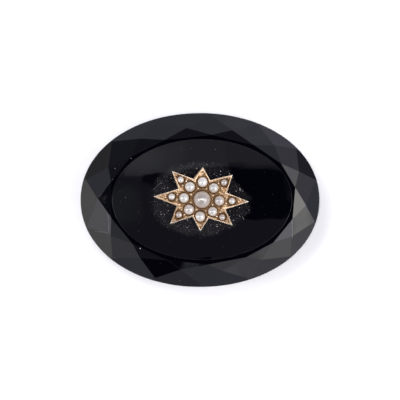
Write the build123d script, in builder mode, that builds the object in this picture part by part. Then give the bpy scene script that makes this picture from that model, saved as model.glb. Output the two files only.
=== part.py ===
from build123d import *
import os
from collections import namedtuple
from math import asin, atan, cos, degrees, pi, radians, sin, sqrt, tan

# Star brooch: an oval black stone with a faceted border and a low dome, and a gold star of half pearls
# that is fixed through the stone to the pin fitting behind it. Millimetres, +X to the wearer's left,
# +Y up on the dress and +Z out of the face. The feet of the fitting stand on z = 0.

# Stone
stone_length = 44.0
stone_width = 32.0
outline_fullness = 2.05      # exponent of the oval, 2 is an ellipse
outline_points = 28
wall_height = 1.2            # straight side wall where the facets leave least of it
back_chamfer = 0.3
facet_count = 14
facet_slope = 30.0           # fall of the kite facets in degrees
ledge_width = 0.9            # flat ledge between the dome and the corners of the facet border

# Dome
dome_length = 33.06
dome_width = 22.14
dome_rise = 1.5
dome_step = 0.15             # small upright step between ledge and dome
dome_x = 0.38                # the hand-cut dome and its star sit a little off the middle
dome_y = 0.08
dome_block_depth = 8.0       # the curved blocks that shape dome and star reach this far down
dome_block_margin = 2.0      # and this far past the dome all round

# Star setting
star_reach = 9.0             # from the middle to the tip of the longest ray
star_thickness = 1.1
star_gap = 0.03              # between the dome and the underside of the star
rim_width = 0.2
rim_height = 0.35            # rim above the sunken field
seat_depth = 0.25
seat_gap = 0.03              # round and under each pearl
grain_radius = 0.16
grain_sink = 0.04            # how far the middle of a grain lies under the field

# Half pearls
centre_pearl_radius = 1.62
ring_pearl_radius = 0.96
ring_pearl_reach = 3.1       # from the middle of the star
ray_pearl_radius = 0.64
ray_pearl_reach = 5.2

# Grains of gold
inner_grain_reach = 2.12
pair_grain_spread = 0.52     # half the distance between the two grains on a ray's shoulder
tip_grain_gap = 0.5          # from the edge of the last pearl of a ray to its grain

# Post and pin fitting
post_radius = 0.9
post_root = 0.25             # how far the post reaches into the star
hole_gap = 0.1               # round the post in the stone
eye_gap = 0.05               # round the post in the plate
plate_gap = 0.03             # between the stone and the plate
stand_height = 3.6           # from the feet to the back of the stone
plate_length = 33.0
plate_width = 5.0
plate_thickness = 0.7
knuckle_radius = 1.7
knuckle_width = 6.4
knuckle_x = 13.6             # hinge and catch stand this far either side of the post
foot_flat = 0.15             # filed off the round underside of hinge and catch
pin_radius = 0.45
pin_overhang = 1.6           # past the catch
pin_point = 2.4
catch_width = 3.0
catch_bore = 0.8
catch_mouth = 0.62           # half height of the gap in the side of the catch

# Corners of the facet border, one row for each kite facet, clockwise from the upper left. Turns are
# degrees off even spacing, counted the other way round. Reaches are shares of the border's width.
FacetRow = namedtuple("FacetRow", "inner_turn mid_turn mid_reach outer_turn outer_reach")
facet_rows = (
    FacetRow(-3.0, -0.5, 0.36, -1.0, 0.93),
    FacetRow(-3.0, -3.2, 0.46, -3.9, 1.00),
    FacetRow(-2.5, -4.6, 0.34, -4.4, 0.95),
    FacetRow(-5.8, -4.5, 0.36, -5.3, 0.91),
    FacetRow(-7.5, -5.0, 0.46, -3.0, 0.99),
    FacetRow(-5.0, -3.5, 0.44, -2.4, 1.02),
    FacetRow(-2.2, -4.2, 0.41, 0.6, 0.97),
    FacetRow(-4.5, -4.2, 0.40, -1.7, 0.96),
    FacetRow(-2.5, -3.0, 0.39, -2.1, 0.98),
    FacetRow(2.0, -1.0, 0.35, -2.0, 0.93),
    FacetRow(3.6, 0.8, 0.30, 0.0, 0.88),
    FacetRow(4.1, 1.8, 0.33, 3.0, 0.90),
    FacetRow(4.1, 3.6, 0.37, 3.9, 0.96),
    FacetRow(3.4, -0.6, 0.36, 5.2, 0.97),
)
level_reach = 0.12           # share of the border over which the chord between two mid corners stays level

# Rays, counter-clockwise from the right. Angles in degrees, reaches as shares of star_reach.
# The valley is the one that follows the tip.
RayRow = namedtuple("RayRow", "tip_angle tip_reach valley_angle valley_reach")
ray_rows = (
    RayRow(-2.6, 0.955, 15.5, 0.522),
    RayRow(39.0, 0.805, 67.2, 0.428),
    RayRow(88.8, 0.667, 113.5, 0.462),
    RayRow(136.6, 0.850, 155.4, 0.531),
    RayRow(176.4, 1.000, 193.7, 0.535),
    RayRow(217.2, 0.820, 241.1, 0.398),
    RayRow(266.9, 0.650, 289.5, 0.403),
    RayRow(319.7, 0.815, 337.4, 0.517),
)

# Pearls of the ring, one for each ray, then the small ones on the six long rays. Reach and size are
# shares of the reach and radius named above.
PearlRow = namedtuple("PearlRow", "name angle reach size")
ring_rows = (
    PearlRow("right", -3.7, 1.02, 1.00),
    PearlRow("top_right", 44.5, 0.97, 0.98),
    PearlRow("top", 88.3, 1.02, 1.02),
    PearlRow("top_left", 133.6, 1.03, 1.02),
    PearlRow("left", 174.9, 1.06, 1.00),
    PearlRow("bottom_left", 217.2, 0.96, 1.02),
    PearlRow("bottom", 263.5, 0.99, 1.03),
    PearlRow("bottom_right", 311.9, 0.93, 0.96),
)
ray_pearl_rows = (
    PearlRow("right", -2.7, 1.05, 1.03),
    PearlRow("top_right", 37.7, 0.98, 1.01),
    PearlRow("top_left", 137.5, 1.02, 1.03),
    PearlRow("left", 174.5, 1.07, 1.02),
    PearlRow("bottom_left", 213.0, 0.97, 0.98),
    PearlRow("bottom_right", 319.0, 0.94, 0.95),
)

half_length = stone_length / 2
half_width = stone_width / 2
half_dome_length = dome_length / 2
half_dome_width = dome_width / 2
long_radius = (half_dome_length**2 + dome_rise**2) / (2 * dome_rise)
cross_radius = (half_dome_width**2 + dome_rise**2) / (2 * dome_rise)


def border_point(reach, number, turn):
    """Point of the facet border in plan, with reach 0 at the ledge and 1 at the outline."""
    angle = pi - radians((number + 0.5) * 360 / facet_count - turn)
    inner_length = half_dome_length + ledge_width
    inner_width = half_dome_width + ledge_width
    x = dome_x * (1 - reach) + (inner_length + (half_length - inner_length) * reach) * cos(angle)
    y = dome_y * (1 - reach) + (inner_width + (half_width - inner_width) * reach) * sin(angle)
    return x, y


def plane_through(first, second, third):
    """Plane through three points, its normal upwards."""
    a, b, c = Vector(*first), Vector(*second), Vector(*third)
    normal = (b - a).cross(c - a)
    if normal.Z < 0:
        normal = normal * -1
    return Plane(origin=a, z_dir=normal)


def height_on(plane, x, y):
    """Height of a plane over a point of the plan."""
    normal = plane.z_dir
    origin = plane.origin
    return origin.Z - (normal.X * (x - origin.X) + normal.Y * (y - origin.Y)) / normal.Z


def border_planes():
    """Kite, upper and lower facets as planes, with the ledge at height 0, and the lowest wall top."""
    border = ((half_length + half_width) - (half_dome_length + half_dome_width) - 2 * ledge_width) / 2
    inner, mid, outer = [], [], []
    for number, row in enumerate(facet_rows):
        mid_fall = tan(radians(facet_slope)) * border * (row.mid_reach - level_reach)
        inner.append((*border_point(0, number, row.inner_turn), 0))
        mid.append((*border_point(row.mid_reach, number + 0.5, row.mid_turn), -mid_fall))
    kites = [plane_through(inner[n], mid[n - 1], mid[n]) for n in range(facet_count)]
    for number, row in enumerate(facet_rows):
        x, y = border_point(row.outer_reach, number, row.outer_turn)
        outer.append((x, y, height_on(kites[number], x, y)))
    uppers, lowers, wall_tops = [], [], []
    for number in range(facet_count):
        after = (number + 1) % facet_count
        uppers.append(plane_through(inner[number], inner[after], mid[number]))
        lowers.append(plane_through(outer[number], outer[after], mid[number]))
        for share in (0.25, 0.5, 0.75):
            x, y = border_point(1, number + share, 0)
            wall_tops.append(height_on(lowers[number], x, y))
    return kites + uppers + lowers, min(wall_tops)


facet_planes, lowest_wall_top = border_planes()
stone_back = stand_height
ledge_height = stone_back + wall_height - lowest_wall_top
dome_top = ledge_height + dome_step + dome_rise
field_lift = star_gap + star_thickness - rim_height
dome_axis_height = dome_top - cross_radius


def dome_plane(x, y, lift):
    """Plane touching the dome at a plan point measured from its middle, raised along the normal."""
    sine_long = x / long_radius
    cosine_long = sqrt(1 - sine_long**2)
    arm = cross_radius - long_radius + long_radius * cosine_long
    sine_cross = y / arm
    cosine_cross = sqrt(1 - sine_cross**2)
    normal = Vector(sine_long, cosine_long * sine_cross, cosine_long * cosine_cross)
    foot = Vector(dome_x + x, dome_y + y, dome_axis_height + arm * cosine_cross)
    return Plane(origin=foot + normal * lift, x_dir=(1, 0, 0), z_dir=normal)


def dome_block(lift):
    """Curved block whose top follows the dome at this lift: the long arc, swung over the cross arc."""
    turn = asin(min(0.9, (half_dome_width + dome_block_margin) / cross_radius))
    side = min(half_dome_length + dome_block_margin, 0.95 * (long_radius + lift))
    crown = cross_radius + lift
    shoulder = cross_radius - long_radius + sqrt((long_radius + lift) ** 2 - side**2)
    low = cross_radius - min(dome_block_depth, 0.9 * cross_radius)
    centre = (dome_x, dome_y, dome_axis_height)
    with BuildPart() as block:
        with BuildSketch(Plane(origin=centre, x_dir=(1, 0, 0), z_dir=(0, -cos(turn), sin(turn)))):
            with BuildLine():
                ThreePointArc((-side, shoulder), (0, crown), (side, shoulder))
                Polyline((side, shoulder), (side, low), (-side, low), (-side, shoulder))
            make_face()
        revolve(axis=Axis(centre, (1, 0, 0)), revolution_arc=degrees(2 * turn))
    return block.part


def outline():
    """Oval with slightly full shoulders: cosine and sine raised to 2 over the fullness."""
    points = []
    for step in range(outline_points):
        angle = 2 * pi * step / outline_points
        power = 2 / outline_fullness
        x = half_length * abs(cos(angle)) ** power * (1 if cos(angle) > 0 else -1)
        y = half_width * abs(sin(angle)) ** power * (1 if sin(angle) > 0 else -1)
        points.append((x, y))
    return points


def polar(angle, reach):
    """Plan point measured from the middle of the star."""
    return reach * cos(radians(angle)), reach * sin(radians(angle))


# Stone: oval slab, cut by the facet planes, with the dome on top and a drilled hole
with BuildPart() as dome:
    with BuildSketch(Plane.XY.offset(ledge_height - wall_height)):
        with Locations((dome_x, dome_y)):
            Ellipse(half_dome_length, half_dome_width)
    extrude(amount=wall_height + dome_step + 2 * dome_rise)
    add(dome_block(0), mode=Mode.INTERSECT)

with BuildPart() as facet_border:
    with BuildSketch():
        Rectangle(2 * stone_length, 2 * stone_width)
    extrude(amount=-ledge_height)
    for facet in facet_planes:
        split(bisect_by=facet, keep=Keep.BOTTOM)

with BuildPart() as onyx_plaque:
    with BuildSketch(Plane.XY.offset(stone_back)):
        with BuildLine():
            Spline(*outline(), periodic=True)
        make_face()
    extrude(amount=ledge_height - stone_back)
    chamfer(onyx_plaque.faces().sort_by(Axis.Z)[0].edges(), length=back_chamfer)
    add(facet_border.part.moved(Location((0, 0, ledge_height))), mode=Mode.INTERSECT)
    add(dome.part)
    with Locations((dome_x, dome_y, dome_top)):
        Hole(radius=post_radius + hole_gap)
onyx_plaque.part.label = "onyx_plaque"

# Half pearls, each flat underneath and square to the dome
pearl_spots = [("centre_pearl", 0.0, 0.0, centre_pearl_radius)]
for row in ring_rows:
    pearl_spots.append(
        (f"ring_pearl_{row.name}", *polar(row.angle, ring_pearl_reach * row.reach), ring_pearl_radius * row.size)
    )
for row in ray_pearl_rows:
    pearl_spots.append(
        (f"ray_pearl_{row.name}", *polar(row.angle, ray_pearl_reach * row.reach), ray_pearl_radius * row.size)
    )

pearls = []
for name, x, y, radius in pearl_spots:
    with BuildPart(dome_plane(x, y, field_lift - seat_depth + seat_gap)) as pearl:
        Sphere(radius, arc_size1=0, align=(Align.CENTER, Align.CENTER, Align.MIN))
    pearl.part.label = name
    pearls.append(pearl.part)

# Grains: one in each gap round the middle pearl, a pair on the shoulder of each long ray and one
# beyond the last pearl of every ray
grain_spots = []
for number, row in enumerate(ring_rows):
    before = ring_rows[number - 1]
    gap_angle = row.angle - ((row.angle - before.angle) % 360) / 2
    grain_spots.append(polar(gap_angle, inner_grain_reach))
    edge = ring_pearl_reach * row.reach + ring_pearl_radius * row.size
    for small in ray_pearl_rows:
        if small.name == row.name:
            small_reach = ray_pearl_reach * small.reach
            small_radius = ray_pearl_radius * small.size
            shoulder = (edge + small_reach - small_radius) / 2
            side_turn = degrees(atan(pair_grain_spread / shoulder))
            grain_spots.append(polar(small.angle + side_turn, shoulder))
            grain_spots.append(polar(small.angle - side_turn, shoulder))
            edge = small_reach + small_radius
    grain_spots.append(polar(ray_rows[number].tip_angle, edge + tip_grain_gap))

# Star setting: plate that follows the dome, with a rim, a sunken field, seats, grains and the post
star_corners = []
for row in ray_rows:
    for angle, reach in ((row.tip_angle, row.tip_reach), (row.valley_angle, row.valley_reach)):
        x, y = polar(angle, reach * star_reach)
        star_corners.append((dome_x + x, dome_y + y))
star_base = ledge_height
star_height = dome_step + dome_rise + 2 * star_thickness

with BuildPart() as recess:
    with BuildSketch(Plane.XY.offset(star_base)):
        with BuildLine():
            Polyline(*star_corners, close=True)
        make_face()
        offset(amount=-rim_width, kind=Kind.INTERSECTION, mode=Mode.REPLACE)
    extrude(amount=star_height)
    add(dome_block(field_lift), mode=Mode.SUBTRACT)

with BuildPart() as seats:
    for name, x, y, radius in pearl_spots:
        with BuildSketch(dome_plane(x, y, field_lift + rim_height)):
            Circle(radius + seat_gap)
        extrude(amount=-rim_height - seat_depth)

with BuildPart() as star_setting:
    with BuildSketch(Plane.XY.offset(star_base)):
        with BuildLine():
            Polyline(*star_corners, close=True)
        make_face()
    extrude(amount=star_height)
    add(dome_block(star_gap + star_thickness), mode=Mode.INTERSECT)
    add(dome_block(star_gap), mode=Mode.SUBTRACT)
    add(recess.part, mode=Mode.SUBTRACT)
    add(seats.part, mode=Mode.SUBTRACT)
    with Locations(*[dome_plane(x, y, field_lift - grain_sink) for x, y in grain_spots]):
        Sphere(grain_radius)
    post_end = stone_back - plate_gap - plate_thickness
    with BuildSketch(Plane.XY.offset(post_end)):
        with Locations((dome_x, dome_y)):
            Circle(post_radius)
    extrude(amount=dome_top + star_gap + post_root - post_end)
star_setting.part.label = "star_setting"

# Pin fitting: plate with an eye for the post, hinge knuckle, pin stem and hooked catch in one piece
plate_underside = post_end
knuckle_height = knuckle_radius - foot_flat
hinge_x = dome_x - knuckle_x
catch_x = dome_x + knuckle_x

with BuildPart() as pin_fitting:
    with BuildSketch(Plane.XY.offset(plate_underside)):
        with Locations((dome_x, dome_y)):
            SlotOverall(plate_length, plate_width)
            Circle(post_radius + eye_gap, mode=Mode.SUBTRACT)
    extrude(amount=plate_thickness)
    with BuildSketch(Plane.XZ.offset(-dome_y - knuckle_width / 2)):
        with Locations((hinge_x, knuckle_height)):
            Circle(knuckle_radius)
        with Locations((hinge_x, (knuckle_height + plate_underside) / 2)):
            Rectangle(2 * knuckle_radius, plate_underside - knuckle_height)
    extrude(amount=knuckle_width)
    with BuildSketch(Plane.YZ.offset(catch_x - catch_width / 2)):
        with Locations((dome_y, knuckle_height)):
            Circle(knuckle_radius)
        with Locations((dome_y, (knuckle_height + plate_underside) / 2)):
            Rectangle(2 * knuckle_radius, plate_underside - knuckle_height)
        with Locations((dome_y, knuckle_height)):
            Circle(catch_bore, mode=Mode.SUBTRACT)
        with Locations((dome_y + knuckle_radius, knuckle_height)):
            Rectangle(2 * knuckle_radius, 2 * catch_mouth, mode=Mode.SUBTRACT)
    extrude(amount=catch_width)
    split(bisect_by=Plane.XY, keep=Keep.TOP)
    stem_end = catch_x + catch_width / 2 + pin_overhang
    with BuildSketch(Plane.YZ.offset(hinge_x)):
        with Locations((dome_y, knuckle_height)):
            Circle(pin_radius)
    extrude(amount=stem_end - hinge_x)
    chamfer(
        pin_fitting.faces().filter_by(Axis.X).sort_by(Axis.X)[-1].edges(),
        length=pin_point,
        length2=0.8 * pin_radius,
    )
pin_fitting.part.label = "pin_fitting"

os.makedirs("parts", exist_ok=True)
for piece in (onyx_plaque.part, star_setting.part, pin_fitting.part, *pearls):
    export_step(piece, f"parts/{piece.label}.step")
    print(piece.label, round(piece.volume, 3), "cubic mm,", len(piece.solids()), "solid")
print("ledge", round(ledge_height, 3), "dome top", round(dome_top, 3), "lowest wall top", round(lowest_wall_top, 3))
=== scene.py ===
import bmesh
import bpy
import numpy as np
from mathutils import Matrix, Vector


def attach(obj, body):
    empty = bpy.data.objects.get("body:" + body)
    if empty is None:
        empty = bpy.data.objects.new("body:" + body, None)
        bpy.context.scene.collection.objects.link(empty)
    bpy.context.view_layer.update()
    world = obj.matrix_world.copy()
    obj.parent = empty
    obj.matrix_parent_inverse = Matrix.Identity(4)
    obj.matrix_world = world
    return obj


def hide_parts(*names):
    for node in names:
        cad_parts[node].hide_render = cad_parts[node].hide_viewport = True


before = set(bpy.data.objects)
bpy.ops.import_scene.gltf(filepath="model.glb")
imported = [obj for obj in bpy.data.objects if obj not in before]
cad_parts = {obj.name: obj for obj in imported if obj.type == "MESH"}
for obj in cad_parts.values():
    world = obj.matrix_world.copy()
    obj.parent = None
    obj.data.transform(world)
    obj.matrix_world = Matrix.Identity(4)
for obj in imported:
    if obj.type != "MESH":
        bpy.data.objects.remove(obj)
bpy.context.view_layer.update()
print("frame loaded with", len(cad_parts), "pieces")

mm = 0.001                     # sizes below are in millimetres, meshes are in metres
middleX, middleY = 0.38, 0.08  # the dome and its star sit a little off the middle of the stone

# The stone. Turns are degrees off even spacing, reaches are shares of the border between ledge and outline.
stone = {
    "length": 44.0,
    "width": 32.0,
    "fullness": 2.05,
    "back": 3.6,
    "wall": 1.2,
    "chamfer": 0.3,
    "slope": 30.0,
    "levelReach": 0.12,
    "ledge": 0.9,
    "domeLength": 33.06,
    "domeWidth": 22.14,
    "domeRise": 1.5,
    "domeStep": 0.15,
    "hole": 1.0,
    "edgeRound": 0.025,
    "stepsPerHalfFacet": 12,
    "domeRings": 34,
}
# One row for each kite facet, clockwise from the upper left:
# inner turn, mid turn, mid reach, outer turn, outer reach
facetRows = np.array([
    (-3.0, -0.5, 0.36, -1.0, 0.93),
    (-3.0, -3.2, 0.46, -3.9, 1.00),
    (-2.5, -4.6, 0.34, -4.4, 0.95),
    (-5.8, -4.5, 0.36, -5.3, 0.91),
    (-7.5, -5.0, 0.46, -3.0, 0.99),
    (-5.0, -3.5, 0.44, -2.4, 1.02),
    (-2.2, -4.2, 0.41, 0.6, 0.97),
    (-4.5, -4.2, 0.40, -1.7, 0.96),
    (-2.5, -3.0, 0.39, -2.1, 0.98),
    (2.0, -1.0, 0.35, -2.0, 0.93),
    (3.6, 0.8, 0.30, 0.0, 0.88),
    (4.1, 1.8, 0.33, 3.0, 0.90),
    (4.1, 3.6, 0.37, 3.9, 0.96),
    (3.4, -0.6, 0.36, 5.2, 0.97),
])

halfLength, halfWidth = stone["length"] / 2, stone["width"] / 2
halfDomeLength, halfDomeWidth = stone["domeLength"] / 2, stone["domeWidth"] / 2
longRadius = (halfDomeLength**2 + stone["domeRise"] ** 2) / (2 * stone["domeRise"])
crossRadius = (halfDomeWidth**2 + stone["domeRise"] ** 2) / (2 * stone["domeRise"])


# Mesh helpers

# Corners of the quads between closed loops, with the last loop joined to the first if asked.
def quadsBetween(rowCount, columnCount, closeRows=False):
    row = np.arange(rowCount if closeRows else rowCount - 1)[:, None]
    column = np.arange(columnCount)[None, :]
    nextRow, nextColumn = (row + 1) % rowCount, (column + 1) % columnCount
    corners = (
        row * columnCount + column,
        row * columnCount + nextColumn,
        nextRow * columnCount + nextColumn,
        nextRow * columnCount + column,
    )
    return np.stack([c.ravel() for c in corners], axis=1)


# Object of this mesh, with doubles merged and faces turned outwards.
def addPiece(name, mesh, merge, material):
    shell = bmesh.new()
    shell.from_mesh(mesh)
    bmesh.ops.remove_doubles(shell, verts=shell.verts, dist=merge * mm)
    bmesh.ops.recalc_face_normals(shell, faces=shell.faces)
    shell.to_mesh(mesh)
    shell.free()
    mesh.shade_smooth()
    mesh.materials.clear()
    mesh.materials.append(material)
    piece = bpy.data.objects.new(name, mesh)
    bpy.context.scene.collection.objects.link(piece)
    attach(piece, "root")
    return piece


# Piece from whole arrays of points in millimetres. Values are kept as named attributes of the points.
def makePiece(name, points, faces, material, slotName, **values):
    mesh = bpy.data.meshes.new(name)
    mesh.from_pydata((points * mm).tolist(), [], faces.tolist())
    for key, value in values.items():
        attribute = mesh.attributes.new(key, "FLOAT", "POINT")
        attribute.data.foreach_set("value", np.broadcast_to(value, (len(points),)).astype(np.float32))
    return addPiece(name, mesh, 0.0004, material)


# Joins faces that lie within flatAngle of one plane, and rounds edges sharper than sharpAngle by width.
def softenEdges(piece, flatAngle, width, sharpAngle):
    joined = piece.modifiers.new("join flat faces", "DECIMATE")
    joined.decimate_type = "DISSOLVE"
    joined.angle_limit = np.radians(flatAngle)
    rounding = piece.modifiers.new("softened edges", "BEVEL")
    rounding.width = width * mm
    rounding.segments = 2
    rounding.limit_method = "ANGLE"
    rounding.angle_limit = np.radians(sharpAngle)
    rounding.harden_normals = True


# Height of the dome: the long arc of longRadius swung over the arc of crossRadius, both grown by lift, so
# arm = cross - long + root of (long + lift) squared less x squared, and the height grows with the root of
# arm squared less y squared.
def domeHeight(x, y, lift=0.0):
    arm = crossRadius - longRadius + np.sqrt((longRadius + lift) ** 2 - x**2)
    return domeTop - crossRadius + np.sqrt(arm**2 - y**2)


# Plan and planes of the facet border

# Plan point on an oval that grows from the ledge at reach 0 to the outline at reach 1.
def borderPoint(reach, number, turn):
    angle = np.pi - np.radians((number + 0.5) * 360 / len(facetRows) - turn)
    innerLength, innerWidth = halfDomeLength + stone["ledge"], halfDomeWidth + stone["ledge"]
    x = middleX * (1 - reach) + (innerLength + (halfLength - innerLength) * reach) * np.cos(angle)
    y = middleY * (1 - reach) + (innerWidth + (halfWidth - innerWidth) * reach) * np.sin(angle)
    return np.stack([x, y], axis=-1), angle


# Planes through three rows of points, as height = p x + q y + r, by solving for each row.
def planesThrough(a, b, c):
    plan = np.stack([a, b, c], axis=1)
    system = np.concatenate([plan[..., :2], np.ones((len(a), 3, 1))], axis=2)
    return np.linalg.solve(system, plan[..., 2:])[..., 0]


# Height of planes at plan points: p x + q y + r.
def heightOn(planes, plan):
    return planes[..., 0] * plan[..., 0] + planes[..., 1] * plan[..., 1] + planes[..., 2]


number = np.arange(len(facetRows))
innerTurn, midTurn, midReach, outerTurn, outerReach = facetRows.T
outerReach = np.minimum(outerReach, 0.99)
bandWidth = (halfLength + halfWidth - halfDomeLength - halfDomeWidth - 2 * stone["ledge"]) / 2
innerPlan, innerAngle = borderPoint(np.zeros(len(number)), number, innerTurn)
midPlan, _ = borderPoint(midReach, number + 0.5, midTurn)
outerPlan, outerAngle = borderPoint(outerReach, number, outerTurn)
midFall = np.tan(np.radians(stone["slope"])) * bandWidth * (midReach - stone["levelReach"])
inner = np.column_stack([innerPlan, np.zeros(len(number))])
mid = np.column_stack([midPlan, -midFall])
kites = planesThrough(inner, np.roll(mid, 1, axis=0), mid)
outer = np.column_stack([outerPlan, heightOn(kites, outerPlan)])
lowers = planesThrough(outer, np.roll(outer, -1, axis=0), mid)

wallShares = np.array([0.25, 0.5, 0.75])
wallPlan, _ = borderPoint(1.0, number[:, None] + wallShares, 0.0)
lowestWallTop = heightOn(lowers[:, None], wallPlan).min()
ledgeHeight = stone["back"] + stone["wall"] - lowestWallTop
domeTop = ledgeHeight + stone["domeStep"] + stone["domeRise"]


# Shader helpers

# A node of this kind, with its own settings put on by name.
def addNode(tree, kind, **settings):
    node = tree.nodes.new(kind)
    for key, value in settings.items():
        setattr(node, key, value)
    return node


# Links a socket to this input, or sets a plain value on it. None leaves the input alone.
def put(tree, value, socket):
    if isinstance(value, bpy.types.NodeSocket):
        tree.links.new(value, socket)
    elif value is not None:
        socket.default_value = value


# Puts values on a node's inputs in order, and gives its first output if it has one.
def feed(tree, node, *values):
    for socket, value in zip(node.inputs, values):
        put(tree, value, socket)
    return node.outputs[0] if node.outputs else None


# One step of arithmetic on numbers.
def maths(tree, operation, *values):
    return feed(tree, addNode(tree, "ShaderNodeMath", operation=operation), *values)


# Adds values one after another.
def plus(tree, total, *values):
    for value in values:
        total = maths(tree, "ADD", total, value)
    return total


# Product of two values.
def times(tree, *values):
    return maths(tree, "MULTIPLY", *values)


# X, Y and Z of a vector.
def partsOf(tree, vector):
    node = addNode(tree, "ShaderNodeSeparateXYZ")
    feed(tree, node, vector)
    return node.outputs


# One step of arithmetic on vectors, with a number out where the step gives one.
def vectorMaths(tree, operation, *values):
    node = addNode(tree, "ShaderNodeVectorMath", operation=operation)
    feed(tree, node, *values)
    return node.outputs["Value" if operation in ("LENGTH", "DOT_PRODUCT", "DISTANCE") else "Vector"]


# Shader node group with one number out and named inputs: numbers with these values, or vectors for None.
def newGroup(name, inputs, output):
    group = bpy.data.node_groups.new(name, "ShaderNodeTree")
    for socketName, value in inputs.items():
        kind = "NodeSocketVector" if value is None else "NodeSocketFloat"
        socket = group.interface.new_socket(socketName, in_out="INPUT", socket_type=kind)
        if value is not None:
            socket.default_value = value
    group.interface.new_socket(output, in_out="OUTPUT", socket_type="NodeSocketFloat")
    start, end = addNode(group, "NodeGroupInput"), addNode(group, "NodeGroupOutput")
    return group, end, start.outputs[:len(inputs)]


# The output of a shared node group, fed in the order of its sockets.
def placeGroup(tree, group, *values):
    return feed(tree, addNode(tree, "ShaderNodeGroup", node_tree=group), *values)


# Material with its node tree and its main shader.
def newMaterial(name):
    material = bpy.data.materials.new(name)
    material.use_nodes = True
    tree = material.node_tree
    return material, tree, tree.nodes["Principled BSDF"]


# Puts values on the shader's sockets, named in plain words with underlines for spaces.
def setShader(tree, shader, **values):
    for key, value in values.items():
        put(tree, value, shader.inputs[key.replace("_", " ")])


# Eases from low to high between start and stop, 3 t squared less 2 t cubed.
def smoothStep(tree, value, start, stop, low=0.0, high=1.0):
    node = addNode(tree, "ShaderNodeMapRange", interpolation_type="SMOOTHSTEP")
    return feed(tree, node, value, start, stop, low, high)


# First colour times 1 less the share, plus second colour times the share.
def mixColour(tree, share, first, second):
    node = addNode(tree, "ShaderNodeMix", data_type="RGBA")
    for number, value in ((0, share), (6, first), (7, second)):
        put(tree, value, node.inputs[number])
    return node.outputs[2]


# Noise in space from 0 to 1, with scale waves in each unit of the place.
def noise(tree, place, scale, detail=2.0, roughness=0.5):
    return feed(tree, addNode(tree, "ShaderNodeTexNoise"), place, None, scale, detail, roughness)


# Vector times factor.
def scaled(tree, place, factor):
    node = addNode(tree, "ShaderNodeVectorMath", operation="SCALE")
    put(tree, factor, node.inputs["Scale"])
    return feed(tree, node, place)


# Normals leaned by the slope of a height, which is in units of the distance in metres.
def bumped(tree, height, strength, distance):
    node = addNode(tree, "ShaderNodeBump")
    put(tree, height, node.inputs["Height"])
    return feed(tree, node, strength, distance)


# Object place divided by a millimetre, so that patterns are sized in millimetres.
def placeInMillimetres(tree):
    return scaled(tree, addNode(tree, "ShaderNodeTexCoord").outputs["Object"], 1 / mm)


# A value that the mesh carries at its points.
def attribute(tree, name):
    return addNode(tree, "ShaderNodeAttribute", attribute_name=name).outputs["Fac"]


# Round specks: the distance to the middle of each cell of the given spacing, in the share of cells that
# is kept, against a size that differs from cell to cell.
def buildSpeckGroup():
    inputs = {"Place": None, "Spacing": 1, "Size": 0.1, "Share": 0.5}
    group, end, (place, spacing, size, share) = newGroup("specks", inputs, "Mask")
    cells = addNode(group, "ShaderNodeTexVoronoi", voronoi_dimensions="2D")
    feed(group, cells, scaled(group, place, maths(group, "DIVIDE", 1.0, spacing)), None, 1.0)
    parts = addNode(group, "ShaderNodeSeparateColor")
    group.links.new(cells.outputs["Color"], parts.inputs[0])
    kept = maths(group, "LESS_THAN", parts.outputs[0], share)
    radius = maths(group, "DIVIDE", times(group, size, plus(group, parts.outputs[1], 0.4)), spacing)
    spot = smoothStep(group, cells.outputs["Distance"], radius, times(group, radius, 0.4))
    feed(group, end, times(group, spot, kept))
    return group


# Fine scratches: the crest of noise that is stretched along one direction, broken up by coarser noise.
def buildScratchGroup():
    inputs = {"Place": None, "Turn": 0, "Spacing": 0.2, "Length": 4}
    group, end, (place, turn, spacing, length) = newGroup("fine scratches", inputs, "Mask")
    turned = addNode(group, "ShaderNodeVectorRotate", rotation_type="Z_AXIS")
    put(group, turn, turned.inputs["Angle"])
    along, across = maths(group, "DIVIDE", 1.0, length), maths(group, "DIVIDE", 1.0, spacing)
    stretch = feed(group, addNode(group, "ShaderNodeCombineXYZ"), along, across, across)
    grain = noise(group, vectorMaths(group, "MULTIPLY", feed(group, turned, place), stretch), 1.0, 1.0)
    crest = maths(group, "ABSOLUTE", maths(group, "SUBTRACT", grain, 0.5))
    line = smoothStep(group, crest, 0.018, 0.0)
    breaks = smoothStep(group, noise(group, scaled(group, place, 0.9), 1.0, 2.0), 0.5, 0.62)
    feed(group, end, times(group, line, breaks))
    return group


# Soft clouds of the given size from -1 to 1, a coarse and a fine noise added three to one.
def buildMottleGroup():
    group, end, (place, size) = newGroup("mottling", {"Place": None, "Size": 1}, "Value")
    coarse = noise(group, scaled(group, place, maths(group, "DIVIDE", 1.0, size)), 1.0, 2.0)
    fine = noise(group, scaled(group, place, maths(group, "DIVIDE", 4.0, size)), 1.0, 3.0, 0.6)
    both = plus(group, times(group, coarse, 1.5), times(group, fine, 0.5))
    feed(group, end, times(group, maths(group, "SUBTRACT", both, 1.0), 2.6))
    return group


# One mark on the polish: the distance in plan to the stretch from start to end, against the mark's width.
def buildMarkGroup():
    inputs = {"Place": None, "Start": None, "Stretch": None, "Width": 0.1}
    group, end, (place, first, stretch, width) = newGroup("mark", inputs, "Mask")
    flat = vectorMaths(group, "MULTIPLY", vectorMaths(group, "SUBTRACT", place, first), (1, 1, 0))
    lengthSquared = plus(group, vectorMaths(group, "DOT_PRODUCT", stretch, stretch), 0.0001)
    share = maths(group, "DIVIDE", vectorMaths(group, "DOT_PRODUCT", flat, stretch), lengthSquared)
    inside = maths(group, "MINIMUM", maths(group, "MAXIMUM", share, 0.0), 1.0)
    fromLine = vectorMaths(group, "SUBTRACT", flat, scaled(group, stretch, inside))
    distance = vectorMaths(group, "LENGTH", fromLine)
    feed(group, end, smoothStep(group, distance, width, times(group, width, 0.3)))
    return group


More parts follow.
